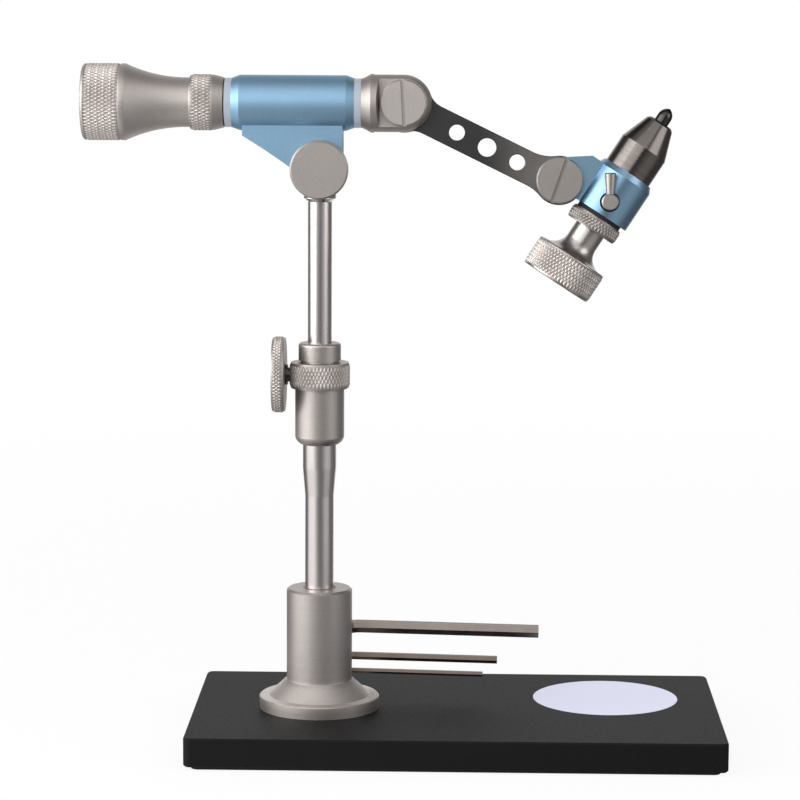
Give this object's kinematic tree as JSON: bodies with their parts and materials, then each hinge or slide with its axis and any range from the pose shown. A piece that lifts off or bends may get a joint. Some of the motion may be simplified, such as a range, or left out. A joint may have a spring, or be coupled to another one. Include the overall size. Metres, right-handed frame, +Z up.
{
  "type": "fly tying vise",
  "caption": "Rotary fly tying vise on a flat weighted base: post with height clamp, tilting rotary head, offset arm and angled collet jaws for holding a hook.",
  "frame": {"origin": "on the table, under the middle of the base", "axes": "+X along the rotary spindle towards the jaws, +Y away from the tyer, +Z up"},
  "size_m": [0.2649, 0.12, 0.2822],
  "materials": {
    "black_paint": "fine textured black paint",
    "pad_rubber": "matt black sheet",
    "white_inlay": "smooth pale lavender white",
    "grey_aluminium": "satin warm grey, bead blasted",
    "blue_aluminium": "light blue anodised, satin",
    "stainless": "polished",
    "bright_steel": "turned, bright",
    "key_steel": "dark oiled",
    "black_steel": "black oxide",
    "black_arm": "satin black",
    "screw_steel": "black oxide",
    "pale_bush": "pale, slightly translucent",
    "dark_washer": "dark fibre",
    "brass": "turned"
  },
  "bodies": {
    "stand": {"base_pad": "pad_rubber", "base_plate": "black_paint", "inlay_disc": "white_inlay", "pedestal": "grey_aluminium", "base_bolt": "screw_steel", "post_screw": "screw_steel", "lower_post": "stainless", "clamp_collar": "grey_aluminium", "collar_ring": "grey_aluminium"},
    "large_key": {"large_hex_key": "key_steel"},
    "middle_key": {"middle_hex_key": "key_steel"},
    "small_key": {"small_hex_key": "key_steel"},
    "clamp_tip": {"clamp_pad": "brass"},
    "clamp": {"clamp_screw": "black_steel", "clamp_wheel": "grey_aluminium"},
    "guide": {"rod_guide": "grey_aluminium"},
    "rod": {"upper_rod": "stainless"},
    "head": {"barrel": "blue_aluminium", "tilt_pivot": "grey_aluminium", "tilt_washer": "bright_steel", "tilt_screw": "bright_steel", "rear_bush": "pale_bush", "front_bush": "pale_bush"},
    "rotor": {"spindle": "stainless", "drag_washer": "dark_washer", "rear_knob": "grey_aluminium", "knob_screw": "screw_steel", "clevis": "grey_aluminium", "elbow_screw": "grey_aluminium", "elbow_nut": "grey_aluminium"},
    "drag": {"drag_ring": "grey_aluminium"},
    "arm": {"jaw_arm": "black_arm", "elbow_washers": "dark_washer"},
    "holder": {"jaw_holder": "blue_aluminium", "wrist_screw": "grey_aluminium", "wrist_nut": "grey_aluminium"},
    "lock_lever": {"lock_screw": "bright_steel", "lock_handle": "bright_steel"},
    "jaw_sleeve": {"collet": "black_steel", "collet_washer": "black_steel"},
    "sleeve_lock": {"lock_ring": "grey_aluminium"},
    "closing_knob": {"jaw_knob": "grey_aluminium"},
    "puller": {"draw_bar": "bright_steel", "jaw_pin": "bright_steel"},
    "near_jaw": {"front_jaw": "black_steel"},
    "far_jaw": {"rear_jaw": "black_steel"}
  },
  "joints": [
    {"name": "large_key_pull", "type": "slide", "parent": "stand", "child": "large_key", "axis": [0, 1, 0], "range_m": [0, 0.016]},
    {"name": "middle_key_pull", "type": "slide", "parent": "stand", "child": "middle_key", "axis": [0, 1, 0], "range_m": [0, 0.013]},
    {"name": "small_key_pull", "type": "slide", "parent": "stand", "child": "small_key", "axis": [0, 1, 0], "range_m": [0, 0.0105]},
    {"name": "clamp_travel", "type": "slide", "parent": "stand", "child": "clamp_tip", "axis": [-1, 0, 0], "range_m": [0, 0.00105]},
    {"name": "clamp_turn", "type": "hinge", "parent": "clamp_tip", "child": "clamp", "pos_m": [-0.0576, -0.0024, 0.1542], "axis": [-1, 0, 0], "range_deg": [0, 360]},
    {"name": "rod_swivel", "type": "hinge", "parent": "stand", "child": "guide", "pos_m": [-0.0576, -0.0024, 0.1595], "axis": [0, 0, 1], "continuous": true},
    {"name": "rod_height", "type": "slide", "parent": "guide", "child": "rod", "axis": [0, 0, 1], "range_m": [-0.055, 0.025]},
    {"name": "head_tilt", "type": "hinge", "parent": "rod", "child": "head", "pos_m": [-0.0576, -0.0024, 0.2397], "axis": [0, 1, 0], "range_deg": [-30, 10]},
    {"name": "rotary_turn", "type": "hinge", "parent": "head", "child": "rotor", "pos_m": [-0.0576, -0.0024, 0.2665], "axis": [1, 0, 0], "continuous": true},
    {"name": "drag_turn", "type": "hinge", "parent": "rotor", "child": "drag", "pos_m": [-0.097, -0.0024, 0.2665], "axis": [1, 0, 0], "range_deg": [-90, 90]},
    {"name": "elbow", "type": "hinge", "parent": "rotor", "child": "arm", "pos_m": [-0.02335, -0.0024, 0.2665], "axis": [0, 0.9976, -0.0698], "range_deg": [-75, 15]},
    {"name": "wrist", "type": "hinge", "parent": "arm", "child": "holder", "pos_m": [0.04052, -0.00456, 0.23556], "axis": [0, 0.9976, -0.0698], "range_deg": [-40, 55]},
    {"name": "lock_turn", "type": "hinge", "parent": "holder", "child": "lock_lever", "pos_m": [0.06079, -0.00517, 0.22695], "axis": [0, -0.9976, 0.0698], "range_deg": [-60, 60]},
    {"name": "jaw_roll", "type": "hinge", "parent": "holder", "child": "jaw_sleeve", "pos_m": [0.08551, -0.00251, 0.26493], "axis": [0.5446, 0.0585, 0.8366], "continuous": true},
    {"name": "sleeve_lock_turn", "type": "hinge", "parent": "jaw_sleeve", "child": "sleeve_lock", "pos_m": [0.05654, -0.00562, 0.22043], "axis": [0.5446, 0.0585, 0.8366], "range_deg": [-90, 90]},
    {"name": "knob_turn", "type": "hinge", "parent": "jaw_sleeve", "child": "closing_knob", "pos_m": [0.05341, -0.00596, 0.21562], "axis": [-0.5446, -0.0585, -0.8366], "range_deg": [0, 720]},
    {"name": "puller_travel", "type": "slide", "parent": "jaw_sleeve", "child": "puller", "axis": [0.5446, 0.0585, 0.8366], "range_m": [0, 0.00305]},
    {"name": "near_jaw_open", "type": "hinge", "parent": "puller", "child": "near_jaw", "pos_m": [0.06754, -0.00444, 0.23733], "axis": [0.8387, -0.038, -0.5433], "range_deg": [0, 0.82]},
    {"name": "far_jaw_open", "type": "hinge", "parent": "puller", "child": "far_jaw", "pos_m": [0.06754, -0.00444, 0.23733], "axis": [-0.8387, 0.038, 0.5433], "range_deg": [0, 0.82]}
  ],
  "couplings": [
    {"joint": "clamp_travel", "follows": "clamp_turn", "m_per_rad": 0.00015915},
    {"joint": "puller_travel", "follows": "knob_turn", "m_per_rad": 0.00023873},
    {"joint": "near_jaw_open", "follows": "knob_turn", "ratio": 0.0011111},
    {"joint": "far_jaw_open", "follows": "knob_turn", "ratio": 0.0011111}
  ]
}
